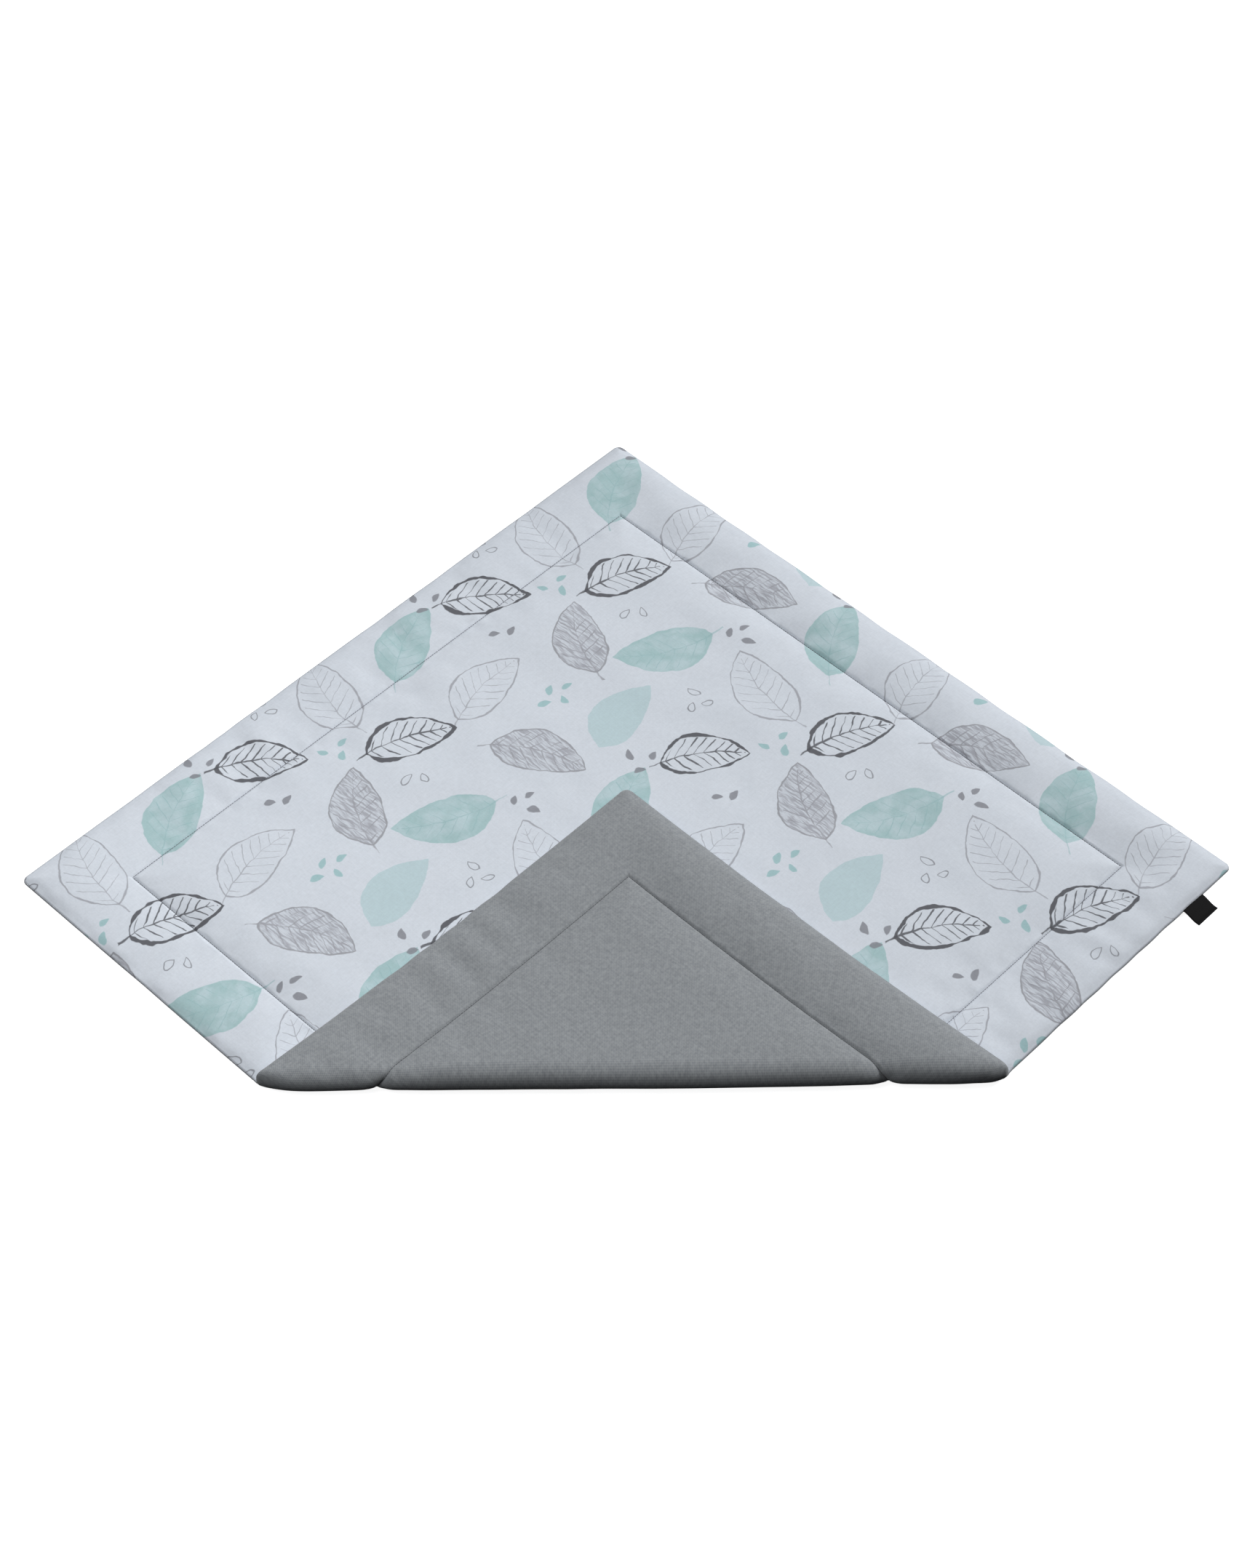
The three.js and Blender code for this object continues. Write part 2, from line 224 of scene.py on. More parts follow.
# How high the upper and lower cloths are at a place. flat is 1 on the floor and 0 on the flap.
def section(a, b, face, flat):
    side, inset, along = locate(a, b)
    fromStitch = abs(inset - mat["stitchInset"])
    full, reach = mat["middleHeight"], mat["middleReach"]
    if inset < mat["stitchInset"]:
        fuller = flat * mat["fuller"][side][0] + (1 - flat) * mat["fuller"][side][1]
        fuller *= smooth((half - inset - abs(along)) / mat["fullerReach"])
        full = mat["borderHeight"] + fuller - creaseDepth(side, inset, along)
        reach = mat["borderReach"]
    edgeFill = 1 - mat["rimShare"] * slopeUp(inset, mat["rimStraight"], mat["rimReach"])
    edgeFill -= (1 - mat["rimShare"]) * ease(inset / mat["edgeReach"])
    stitchFill = 1 - ease(fromStitch / reach)
    high = full - (full - mat["edgeHigh"]) * edgeFill - (full - mat["stitchHigh"]) * stitchFill
    loose = smooth(inset / mat["looseFromEdge"]) * smooth(fromStitch / mat["looseFromStitch"])
    high += (unevenness(side, inset, along, a, b, face) + gatherHeight(face, a, b)) * loose
    pinch = mat["pinch"] * (1 - ease(fromStitch / mat["pinchReach"]))
    low = mat["edgeLow"] * (1 - roundUp(inset / mat["edgeReachLow"]))
    low += mat["stitchLow"] * (1 - ease(fromStitch / mat["stitchReachLow"]))
    return high - pinch, low + pinch / 2


# The fold's place and height at a length past its start, its angle, and how far it has turned
def foldPath(length):
    angle = math.pi * clamp01(length / turnLength)
    back = max(length - turnLength, 0.0)
    settled = 0.5 - 0.5 * math.cos(math.pi * clamp01(back / fold["settleLength"]))
    y = fold["start"] - min(length, 0.0) - fold["depth"] * math.sin(angle) + fold["stretch"] * back
    z = mat["seamLevel"] + foldRise * (1 - math.cos(angle)) - fold["crown"] * settled
    turn = math.atan2(foldRise * math.sin(angle), fold["depth"] * math.cos(angle))
    return y, z, turn, smooth(length / turnLength)


def outlined(a, b, face):  # rounds the corners, and draws the edge in at each crease
    side, inset, along = locate(a, b)
    drawn = creaseShape["drawsIn"] * creaseDepth(side, 0.0, along)
    inward = drawn * (1 - clamp01(inset / creaseShape["drawReach"]))
    if not face:
        inward -= mat["backingProud"] * (1 - clamp01(inset / mat["proudReach"]))
    out = half - inset
    start = half - mat["cornerRadius"]
    if out > start and abs(along) > start:
        du, dv = out - start, abs(along) - start
        shrink = max(du, dv) / math.hypot(du, dv)
        out = start + du * shrink
        along = math.copysign(start + dv * shrink, along)
    return placeOn(side, along, out - inward)


# A flat square of cloth on an uneven grid. line holds its stations from the edge inwards.
def clothSquare(line):
    stations = [-s for s in line] + [0.0] + line[::-1]
    steps = len(stations) - 1
    bm = bmesh.new()
    bmesh.ops.create_grid(bm, x_segments=steps, y_segments=steps, size=half)
    places = [tuple(round((c + half) / (2 * half) * steps) for c in (v.co.x, v.co.y)) for v in bm.verts]
    for v, (i, j) in zip(bm.verts, places):
        v.co.x, v.co.y = stations[i], stations[j]
    return bm, places


def newObject(name, bm):
    mesh = bpy.data.meshes.new(name)
    bm.to_mesh(mesh)
    bm.free()
    made = bpy.data.objects.new(name, mesh)
    bpy.context.scene.collection.objects.link(made)
    return made


# The cloth gathers a little between its seams. A square with some cloth to spare is simulated over
# the padding's pressure, held at its edge and along the stitched line, once for each side.
gather = {
    "borderSteps": 7,
    "middleSteps": 31,
    "spare": 0.003,
    "pressure": 8.0,
    "stiffness": 15.0,
    "bending": 5.0,
    "mass": 0.2,
    "hold": 5,
    "quality": 4,
    "frames": 30,
    "onSeam": 0.0005,
    "middleReach": 0.090,  # past the stitched line, where the padding holds the cloth too
    "unevenness": 0.0006,
    "unevenLength": 0.05,
    "cornerSteps": 6,  # kept out of the even swell
    "cornerFade": 5,
    "gain": 2.0,
    "most": 0.0025,
    "seeds": (5.1, 2.3),  # of the backing and the print
}
gatherSteps = gather["borderSteps"] + gather["middleSteps"]


def gatherPlace(x):  # in steps of the simulated square
    inset = half - abs(x)
    step = inset / mat["stitchInset"] * gather["borderSteps"]
    if inset > mat["stitchInset"]:
        inner = (inset - mat["stitchInset"]) / (half - mat["stitchInset"])
        step = gather["borderSteps"] + inner * gather["middleSteps"]
    return step if x < 0 else 2 * gatherSteps - step


def unevenSquare(seed):
    border, middle = gather["borderSteps"], gather["middleSteps"]
    line = [half - mat["stitchInset"] * i / border for i in range(border)]
    line += [(half - mat["stitchInset"]) * (1 - i / middle) for i in range(middle)]
    bm, places = clothSquare(line)
    length = gather["unevenLength"]
    for v in bm.verts:
        v.co.z = gather["unevenness"] * noise.noise(Vector((v.co.x / length, v.co.y / length, seed)))
    return newObject("gathers", bm), places


def holdSeams(square):
    held = square.vertex_groups.new(name="held")
    for v in square.data.vertices:
        inset = half - max(abs(v.co.x), abs(v.co.y))
        fromStitch = inset - mat["stitchInset"]
        if inset < gather["onSeam"] or abs(fromStitch) < gather["onSeam"]:
            held.add([v.index], 1.0, "REPLACE")
        elif fromStitch > 0:
            held.add([v.index], min(1.0, (fromStitch / gather["middleReach"]) ** 2), "REPLACE")


def addCloth(square):
    modifier = square.modifiers.new("cloth", "CLOTH")
    settings = modifier.settings
    settings.quality = gather["quality"]
    settings.mass = gather["mass"]
    settings.tension_stiffness = gather["stiffness"]
    settings.compression_stiffness = gather["stiffness"]
    settings.shear_stiffness = gather["stiffness"] / 2
    settings.bending_stiffness = gather["bending"]
    settings.vertex_group_mass = "held"
    settings.pin_stiffness = gather["hold"]
    settings.shrink_min = -gather["spare"]
    settings.use_pressure = True
    settings.uniform_pressure_force = gather["pressure"]
    settings.effector_weights.gravity = 0
    modifier.collision_settings.use_collision = False
    modifier.collision_settings.use_self_collision = False
    modifier.point_cache.frame_start = 1
    modifier.point_cache.frame_end = gather["frames"]


def simulatedHeights(seed):
    square, places = unevenSquare(seed)
    holdSeams(square)
    addCloth(square)
    for step in range(1, gather["frames"] + 1):
        bpy.context.scene.frame_set(step)
    result = square.evaluated_get(bpy.context.evaluated_depsgraph_get()).data
    heights = {place: v.co.z for place, v in zip(places, result.vertices)}
    mesh = square.data
    bpy.data.objects.remove(square)
    bpy.data.meshes.remove(mesh)
    bpy.context.scene.frame_set(1)
    return heights


def ringOf(i, j):  # how many steps a point is from the edge, and from its corner's diagonal
    steps = 2 * gatherSteps
    return min(i, j, steps - i, steps - j), abs(abs(i - gatherSteps) - abs(j - gatherSteps))


# The gathers by themselves: the simulated heights without the even swell between the seams
def gathersOf(heights):
    rings = {}
    for place, z in heights.items():
        ring, fromCorner = ringOf(*place)
        if fromCorner > gather["cornerSteps"]:
            rings.setdefault(ring, []).append(z)
    swell = {ring: sum(zs) / len(zs) for ring, zs in rings.items()}
    gathers = {}
    for place, z in heights.items():
        ring, fromCorner = ringOf(*place)
        own = gather["gain"] * smooth(fromCorner / gather["cornerFade"]) * (z - swell.get(ring, z))
        gathers[place] = max(-gather["most"], min(gather["most"], own))
    return gathers


gathered = [gathersOf(simulatedHeights(seed)) for seed in gather["seeds"]]
print("stage: gathers simulated")


# A cubic spline over the simulated square's steps, whose weights add up to 6 each way
def gatherHeight(face, a, b):
    if not gathered[face]:
        return 0.0
    starts, weights = [], []
    for place in (gatherPlace(a), gatherPlace(b)):
        start = min(int(place), 2 * gatherSteps - 1)
        t = place - start
        starts.append(start)
        weights.append(((1 - t) ** 3, 3 * t ** 3 - 6 * t * t + 4, 3 * (t + t * t - t ** 3) + 1, t ** 3))
    total = 0.0
    for i, across in enumerate(weights[0]):
        for j, along in enumerate(weights[1]):
            total += across * along * gathered[face].get((starts[0] + i - 1, starts[1] + j - 1), 0.0)
    return total / 6 ** 2


# Where a point of a cloth lies in the mat. face is 1 for the print and 0 for the backing.
def lay(a, b, face, lift=0.0):
    flat = (1 + math.cos(foldPath(fold["start"] - diagonal * (a + b))[2])) / 2
    high, low = section(a, b, face, flat)
    fromStitch = abs(locate(a, b)[1] - mat["stitchInset"])
    a, b = outlined(a, b, face)
    x, q = diagonal * (a - b), diagonal * (a + b)
    y, z, turn, folded = foldPath(fold["start"] - q)
    if face:
        offset = flat * (high - mat["seamLevel"]) + (1 - flat) * (mat["seamLevel"] - low) + lift
    else:
        offset = flat * (low - mat["seamLevel"]) + (1 - flat) * (mat["seamLevel"] - high) - lift
        offset += fold["notch"] * math.sin(turn) ** 2 * (1 - ease(fromStitch / fold["notchReach"]))
    x += math.copysign(fold["flare"] * (x / flapHalfWidth) ** 2 * folded, x)
    bulge = math.sin(turn) * sum(out * bell((x - at) / width) for at, width, out in fold["lobes"])
    return matCentre + Vector((x, y + offset * math.sin(turn) - bulge, z + offset * math.cos(turn)))


# Colours are sRGB hex
def colour(text):
    parts = [int(text[i:i + 2], 16) / 255 for i in (1, 3, 5)]
    return [c / 12.92 if c <= 0.04045 else ((c + 0.055) / 1.055) ** 2.4 for c in parts] + [1.0]


# Adds a node. Settings are its properties, or its sockets by name or number; links are its inputs.
def addNode(tree, kind, settings=None, links=None):
    node = tree.nodes.new(kind)
    for key, value in (settings or {}).items():
        if isinstance(key, str) and hasattr(node, key):
            setattr(node, key, value)
        else:
            node.inputs[key].default_value = value
    for key, source in (links or {}).items():
        if isinstance(source, bpy.types.Node):
            source = next(s for s in source.outputs if s.enabled)
        tree.links.new(source, node.inputs[key])
    return node


def newMaterial(name):
    material = bpy.data.materials.new(name)
    material.use_nodes = True
    material.node_tree.nodes.clear()
    return material, material.node_tree


def newGroup(name, outputs):
    group = bpy.data.node_groups.new(name, "ShaderNodeTree")
    group.interface.new_socket("Place", in_out="INPUT", socket_type="NodeSocketVector")
    for output in outputs:
        group.interface.new_socket(output, in_out="OUTPUT", socket_type="NodeSocketFloat")
    start = addNode(group, "NodeGroupInput")
    return group, start.outputs["Place"]


# A leaf one unit from middle to tip, with a bent midrib. Distance is how far a place is from its
# outline, less than nothing inside, and Lines how far from its midrib and veins.
def leafGroup():
    group, place = newGroup("leaf", ["Distance", "Lines"])
    width, taper, bend = 0.52, 0.28, 0.16
    midribShift, midribReach = 0.22, 1.02
    veinGap, veinSlant, veinEnd = 0.11, 0.8, 0.09
    radius, centre = (1 / width + width) / 2, (1 / width - width) / 2
    parts = addNode(group, "ShaderNodeSeparateXYZ", {}, {0: place})
    x, y = parts.outputs["X"], parts.outputs["Y"]
    bent = addNode(group, "ShaderNodeMath", {"operation": "MULTIPLY"}, {0: x, 1: x})
    bent = addNode(group, "ShaderNodeMath", {"operation": "MULTIPLY_ADD", 1: bend}, {0: bent, 2: y})
    bent = addNode(group, "ShaderNodeMath", {"operation": "SUBTRACT", 1: bend / 3}, {0: bent})
    tapered = addNode(group, "ShaderNodeMath", {"operation": "MULTIPLY_ADD", 1: taper, 2: 1.0}, {0: x})
    across = addNode(group, "ShaderNodeMath", {"operation": "MULTIPLY"}, {0: bent, 1: tapered})
    across = addNode(group, "ShaderNodeMath", {"operation": "ABSOLUTE"}, {0: across})
    # the outline is an arc on each side of the midrib
    point = addNode(group, "ShaderNodeCombineXYZ", {}, {"X": x, "Y": across})
    leaf = addNode(group, "ShaderNodeVectorMath", {"operation": "DISTANCE", 1: (0, -centre, 0)}, {0: point})
    leaf = addNode(group, "ShaderNodeMath", {"operation": "SUBTRACT", 1: radius}, {0: leaf})
    # the midrib runs on past the leaf as its stalk
    ends = addNode(group, "ShaderNodeMath", {"operation": "ADD", 1: midribShift}, {0: x})
    ends = addNode(group, "ShaderNodeMath", {"operation": "ABSOLUTE"}, {0: ends})
    ends = addNode(group, "ShaderNodeMath", {"operation": "SUBTRACT", 1: midribReach}, {0: ends})
    midrib = addNode(group, "ShaderNodeMath", {"operation": "MAXIMUM"}, {0: across, 1: ends})
    vein = addNode(group, "ShaderNodeMath", {"operation": "MULTIPLY_ADD", 1: -veinSlant}, {0: across, 2: x})
    vein = addNode(group, "ShaderNodeMath", {"operation": "WRAP", 1: veinGap, 2: -veinGap}, {0: vein})
    vein = addNode(group, "ShaderNodeMath", {"operation": "ABSOLUTE"}, {0: vein})
    inside = addNode(group, "ShaderNodeMath", {"operation": "ADD", 1: veinEnd}, {0: leaf})
    vein = addNode(group, "ShaderNodeMath", {"operation": "MAXIMUM"}, {0: vein, 1: inside})
    lines = addNode(group, "ShaderNodeMath", {"operation": "MINIMUM"}, {0: midrib, 1: vein})
    addNode(group, "NodeGroupOutput", {}, {"Distance": leaf, "Lines": lines})
    return group


# The weave of the cloths. It repeats every two threads, about 0.8 mm in the real ones, and is drawn
# coarser here, so that it shows in the render.
weave = {
    "printRepeat": 3.0,  # mm
    "backingRepeat": 3.2,  # mm
    "threadHeight": 0.16,
    "slubs": [(0.3, 1.0, 1.0), (1.0, 0.3, 1.0)],  # long along the weft, then along the warp
}


# A plain woven cloth that repeats every unit: its height, and the slubs of its threads
def weaveGroup():
    group, place = newGroup("weave", ["Height", "Slub"])
    parts = addNode(group, "ShaderNodeSeparateXYZ", {}, {0: place})
    waves = []
    for axis in ("X", "Y"):
        phase = addNode(group, "ShaderNodeMath", {"operation": "MULTIPLY", 1: 2 * math.pi},
                        {0: parts.outputs[axis]})
        waves.append(addNode(group, "ShaderNodeMath", {"operation": "SINE"}, {0: phase}))
    threads = addNode(group, "ShaderNodeMath", {"operation": "MULTIPLY"}, {0: waves[0], 1: waves[1]})
    slubs = []
    for scale in weave["slubs"]:
        drawn = addNode(group, "ShaderNodeVectorMath", {"operation": "MULTIPLY", 1: scale}, {0: place})
        slubs.append(addNode(group, "ShaderNodeTexNoise", {"Scale": 1.0, "Detail": 1.0}, {"Vector": drawn}))
    slub = addNode(group, "ShaderNodeMath", {"operation": "ADD"},
                   {0: slubs[0].outputs["Fac"], 1: slubs[1].outputs["Fac"]})
    slub = addNode(group, "ShaderNodeMath", {"operation": "MULTIPLY", 1: 0.5}, {0: slub})
    height = addNode(group, "ShaderNodeMath", {"operation": "MULTIPLY_ADD", 1: weave["threadHeight"]},
                     {0: threads, 2: slub})
    addNode(group, "NodeGroupOutput", {}, {"Height": height, "Slub": slub})
    return group


# The print, a plain one of leaves and seeds, in millimetres and degrees
printDesign = {
    "tile": 450.0,
    "wobble": 8.0,
    # noises, per millimetre: outlines wander every 20 mm or so, the brush thins and the wash pools
    # every 30 mm, and pencil strokes are 3 mm apart and 25 mm long
    "wobbleScale": 0.045,
    "brushScale": 0.035,
    "washScale": 0.030,
    "strokeScale": (0.36, 0.04, 0),
    "paintedEdge": 0.6,  # half the width over which the edge of a painted shape, and of a line, is soft
    "lineEdge": 0.5,
    "painted": ["mint", "pale", "mintSeed", "greySeed"],
    # half the width of each line, thinnest and thickest: of the outline, then of the midrib and veins
    "lines": {
        "dark": (0.8, 3.6, 0.5, 1.6),
        "light": (0.6, 1.5, 0.3, 0.8),
        "hatch": (0.7, 1.5, 0.2, 1.3),
        "mint": (0.0, 0.0, 0.2, 0.9),
        "lineSeed": (0.6, 0.8, 0.0, 0.0),
    },
    # what is printed over what: shape, ink and strength
    "inks": [
        ("pale", "#BDD5DA", 0.85),
        ("hatchFill", "#9C9DA6", 1.0),
        ("hatchLines", "#A0A1A9", 0.8),
        ("hatchDistance", "#A2A4AB", 1.0),
        ("mint", "wash", 0.95),
        ("mintLines", "#97BEC1", 0.6),
        ("mintSeed", "#A0C6C9", 0.9),
        ("greySeed", "#8B8D95", 0.9),
        ("lineSeedDistance", "#808289", 0.85),
        ("lightDistance", "#A6A8B0", 0.9),
        ("lightLines", "#A6A8B0", 0.8),
        ("darkDistance", "#54555B", 0.95),
        ("darkLines", "#54555B", 0.9),
    ],
    # style, place in the tile, size from middle to tip, and turn
    "motifs": [
        ("mint", 78, 82, 76, 28),
        ("dark", 226, 66, 66, -38),
        ("light", 378, 92, 78, 74),
        ("hatch", 62, 236, 72, -64),
        ("pale", 196, 204, 70, 12),
        ("mint", 332, 246, 78, 152),
        ("light", 96, 384, 74, 8),
        ("hatch", 262, 352, 72, 58),
        ("dark", 402, 392, 68, -24),
        ("greySeed", 150, 142, 11, 60),
        ("greySeed", 172, 118, 9, 20),
        ("greySeed", 140, 112, 9, -30),
        ("lineSeed", 302, 158, 11, 100),
        ("lineSeed", 278, 140, 9, 40),
        ("lineSeed", 300, 128, 9, 150),
        ("mintSeed", 134, 298, 11, -20),
        ("mintSeed", 158, 312, 10, 35),
        ("mintSeed", 160, 284, 9, 80),
        ("mintSeed", 182, 300, 9, 0),
        ("greySeed", 432, 168, 11, -60),
        ("greySeed", 446, 192, 9, -10),
        ("greySeed", 424, 200, 9, 40),
        ("lineSeed", 344, 338, 11, 10),
        ("lineSeed", 364, 322, 9, 70),
        ("mintSeed", 312, 438, 11, 50),
        ("mintSeed", 330, 8, 9, 0),
        ("mintSeed", 296, 14, 9, 110),
        ("greySeed", 200, 434, 10, 20),
        ("greySeed", 180, 448, 9, -40),
    ],
}
noiseSpan = {"From Min": 0.38, "From Max": 0.62}  # the part of a noise's range that it mostly fills


# How far each place of the cloth is from the nearest outline and lines of each style
def nearestMotifs(tree, drawn):
    leaf = leafGroup()
    reach = printDesign["tile"] / 2
    nearest = {}
    for style, x, y, size, turn in printDesign["motifs"]:
        near = addNode(tree, "ShaderNodeVectorMath", {"operation": "SUBTRACT", 1: (x, y, 0)}, {0: drawn})
        near = addNode(tree, "ShaderNodeVectorMath",
                       {"operation": "WRAP", 1: (reach, reach, 1), 2: (-reach, -reach, -1)}, {0: near})
        near = addNode(tree, "ShaderNodeVectorRotate",
                       {"rotation_type": "Z_AXIS", "Angle": -math.radians(turn)}, {"Vector": near})
        near = addNode(tree, "ShaderNodeVectorMath", {"operation": "SCALE", "Scale": 1 / size}, {0: near})
        motif = addNode(tree, "ShaderNodeGroup", {"node_tree": leaf}, {"Place": near})
        for part in ("Distance", "Lines"):
            shape = addNode(tree, "ShaderNodeMath", {"operation": "MULTIPLY", 1: size},
                            {0: motif.outputs[part]})
            if style + part in nearest:
                shape = addNode(tree, "ShaderNodeMath", {"operation": "MINIMUM"},
                                {0: shape, 1: nearest[style + part]})
            nearest[style + part] = shape
    return nearest


# Where each shape is printed: painted ones, then lines of a brush's uneven width
def printedShapes(tree, place, nearest):
    shapes = {}
    soft = printDesign["paintedEdge"]
    for style in printDesign["painted"]:
        shapes[style] = addNode(tree, "ShaderNodeMapRange", {"From Min": soft, "From Max": -soft},
                                {"Value": nearest[style + "Distance"]})
    brush = addNode(tree, "ShaderNodeTexNoise", {"Scale": printDesign["brushScale"], "Detail": 2.0},
                    {"Vector": place})
    soft = printDesign["lineEdge"]
    for style, widths in printDesign["lines"].items():
        for part, thin, thick in (("Distance", *widths[:2]), ("Lines", *widths[2:])):
            if not thick:
                continue
            width = addNode(tree, "ShaderNodeMapRange", {**noiseSpan, "To Min": thin, "To Max": thick},
                            {"Value": brush})
            line = nearest[style + part]
            if part == "Distance":
                line = addNode(tree, "ShaderNodeMath", {"operation": "ABSOLUTE"}, {0: line})
            line = addNode(tree, "ShaderNodeMath", {"operation": "SUBTRACT"}, {0: line, 1: width})
            shapes[style + part] = addNode(tree, "ShaderNodeMapRange",
                                           {"From Min": soft, "From Max": -soft}, {"Value": line})
    return shapes


def hatchStrokes(tree, drawn, distance):  # close pencil strokes inside a leaf
    inside = addNode(tree, "ShaderNodeMapRange", {"From Min": 0.0, "From Max": -1.0}, {"Value": distance})
    strokes = addNode(tree, "ShaderNodeVectorMath",
                      {"operation": "MULTIPLY", 1: printDesign["strokeScale"]}, {0: drawn})
    strokes = addNode(tree, "ShaderNodeTexNoise", {"Scale": 1.0, "Detail": 2.0}, {"Vector": strokes})
    strokes = addNode(tree, "ShaderNodeMapRange",
                      {"From Min": 0.42, "From Max": 0.60, "To Min": 0.12, "To Max": 0.75},
                      {"Value": strokes})
    return addNode(tree, "ShaderNodeMath", {"operation": "MULTIPLY"}, {0: inside, 1: strokes})


def mintWash(tree, wash, distance):  # pools in patches, and along a leaf's outline
    rim = addNode(tree, "ShaderNodeMapRange", {"From Min": -7.0, "From Max": 0.0, "To Max": 0.45},
                  {"Value": distance})
    pool = addNode(tree, "ShaderNodeMapRange", noiseSpan, {"Value": wash})
    pool = addNode(tree, "ShaderNodeMath", {"operation": "ADD", "use_clamp": True}, {0: pool, 1: rim})
    return addNode(tree, "ShaderNodeMix",
                   {"data_type": "RGBA", 6: colour("#BED5DA"), 7: colour("#A8C8CA")}, {0: pool}).outputs[2]


def printedCotton():
    # Printed cotton, plain woven and pigment printed: quite matt, with a little fuzz that catches light
    material, tree = newMaterial("printed cotton")
    cloth = addNode(tree, "ShaderNodeUVMap", {"uv_map": "cloth"})
    place = addNode(tree, "ShaderNodeVectorMath", {"operation": "SCALE", "Scale": 1000.0}, {0: cloth})
    # hand-drawn outlines wander a little
    by = printDesign["wobble"]
    wobble = addNode(tree, "ShaderNodeTexNoise", {"Scale": printDesign["wobbleScale"], "Detail": 2.0},
                     {"Vector": place})
    wobble = addNode(tree, "ShaderNodeVectorMath",
                     {"operation": "MULTIPLY_ADD", 1: (by, by, 0), 2: (-by / 2, -by / 2, 0)},
                     {0: wobble.outputs["Color"]})
    drawn = addNode(tree, "ShaderNodeVectorMath", {"operation": "ADD"}, {0: place, 1: wobble})
    nearest = nearestMotifs(tree, drawn)
    shapes = printedShapes(tree, place, nearest)
    shapes["hatchFill"] = hatchStrokes(tree, drawn, nearest["hatchDistance"])
    wash = addNode(tree, "ShaderNodeTexNoise",
                   {"Scale": printDesign["washScale"], "Detail": 5.0, "Distortion": 0.6}, {"Vector": place})
    mint = mintWash(tree, wash, nearest["mintDistance"])
    ground = addNode(tree, "ShaderNodeMix",
                     {"data_type": "RGBA", 6: colour("#DDE3EB"), 7: colour("#D8DFE8")}, {0: wash})
    painted = ground.outputs[2]
    for name, ink, strength in printDesign["inks"]:
        mask = addNode(tree, "ShaderNodeMath", {"operation": "MULTIPLY", 1: strength}, {0: shapes[name]})
        settings, links = {"data_type": "RGBA"}, {0: mask, 6: painted}
        if ink == "wash":
            links[7] = mint
        else:
            settings[7] = colour(ink)
        painted = addNode(tree, "ShaderNodeMix", settings, links).outputs[2]

    threads = addNode(tree, "ShaderNodeVectorMath",
                      {"operation": "SCALE", "Scale": 1 / weave["printRepeat"]}, {0: place})
    threads = addNode(tree, "ShaderNodeGroup", {"node_tree": weaveGroup()}, {"Place": threads})
    shade = addNode(tree, "ShaderNodeMapRange",
                    {"From Min": 0.3, "From Max": 0.7, "To Min": 0.95, "To Max": 1.04},
                    {"Value": threads.outputs["Slub"]})
    painted = addNode(tree, "ShaderNodeVectorMath", {"operation": "SCALE"}, {0: painted, "Scale": shade})
    bump = addNode(tree, "ShaderNodeBump", {"Strength": 0.25, "Distance": 0.0006}, {"Height": threads})
    shader = addNode(tree, "ShaderNodeBsdfPrincipled",
                     {"Roughness": 0.85, "Sheen Weight": 0.15, "Sheen Roughness": 0.5},
                     {"Base Color": painted, "Normal": bump})
    addNode(tree, "ShaderNodeOutputMaterial", {}, {"Surface": shader})
    return material


def greyCotton():
    # Dyed cotton canvas, plain woven: matt, with the slubs of its threads. Its colour follows the weave's
    # height: the slubs' own tone, plus painted shade in the hollows between the threads.
    material, tree = newMaterial("grey cotton canvas")
    cloth = addNode(tree, "ShaderNodeUVMap", {"uv_map": "cloth"})
    threads = addNode(tree, "ShaderNodeVectorMath",
                      {"operation": "SCALE", "Scale": 1000 / weave["backingRepeat"]}, {0: cloth})
    threads = addNode(tree, "ShaderNodeGroup", {"node_tree": weaveGroup()}, {"Place": threads})
    # painted shade: darker where the weave is lower, together with the slubs' own tone
    shade = addNode(tree, "ShaderNodeMapRange", {"From Min": 0.3, "From Max": 0.7}, {"Value": threads})
    base = addNode(tree, "ShaderNodeMix",
                   {"data_type": "RGBA", 6: colour("#82868A"), 7: colour("#9B9FA2")}, {0: shade})
    bump = addNode(tree, "ShaderNodeBump", {"Strength": 0.3, "Distance": 0.0008}, {"Height": threads})
    shader = addNode(tree, "ShaderNodeBsdfPrincipled",
                     {"Roughness": 0.9, "Sheen Weight": 0.2, "Sheen Roughness": 0.5},
                     {"Base Color": base.outputs[2], "Normal": bump})
    addNode(tree, "ShaderNodeOutputMaterial", {}, {"Surface": shader})
    return material


def spunThread(name, shade):
    # Spun polyester thread: a soft shine, lighter and darker every millimetre or so along its twist
    material, tree = newMaterial(name)
    place = addNode(tree, "ShaderNodeTexCoord")
    twist = addNode(tree, "ShaderNodeTexNoise", {"Scale": 900.0, "Detail": 1.0},
                    {"Vector": place.outputs["Object"]})
    tone = addNode(tree, "ShaderNodeMapRange",
                   {"From Min": 0.3, "From Max": 0.7, "To Min": 0.85, "To Max": 1.1}, {"Value": twist})
    # shade is the thread's grey; for the stitches it is darkened with painted shadow of their groove
    base = addNode(tree, "ShaderNodeVectorMath", {"operation": "SCALE", 0: colour(shade)[:3]},
                   {"Scale": tone})
    shader = addNode(tree, "ShaderNodeBsdfPrincipled", {"Roughness": 0.6}, {"Base Color": base})
    addNode(tree, "ShaderNodeOutputMaterial", {}, {"Surface": shader})
    return material


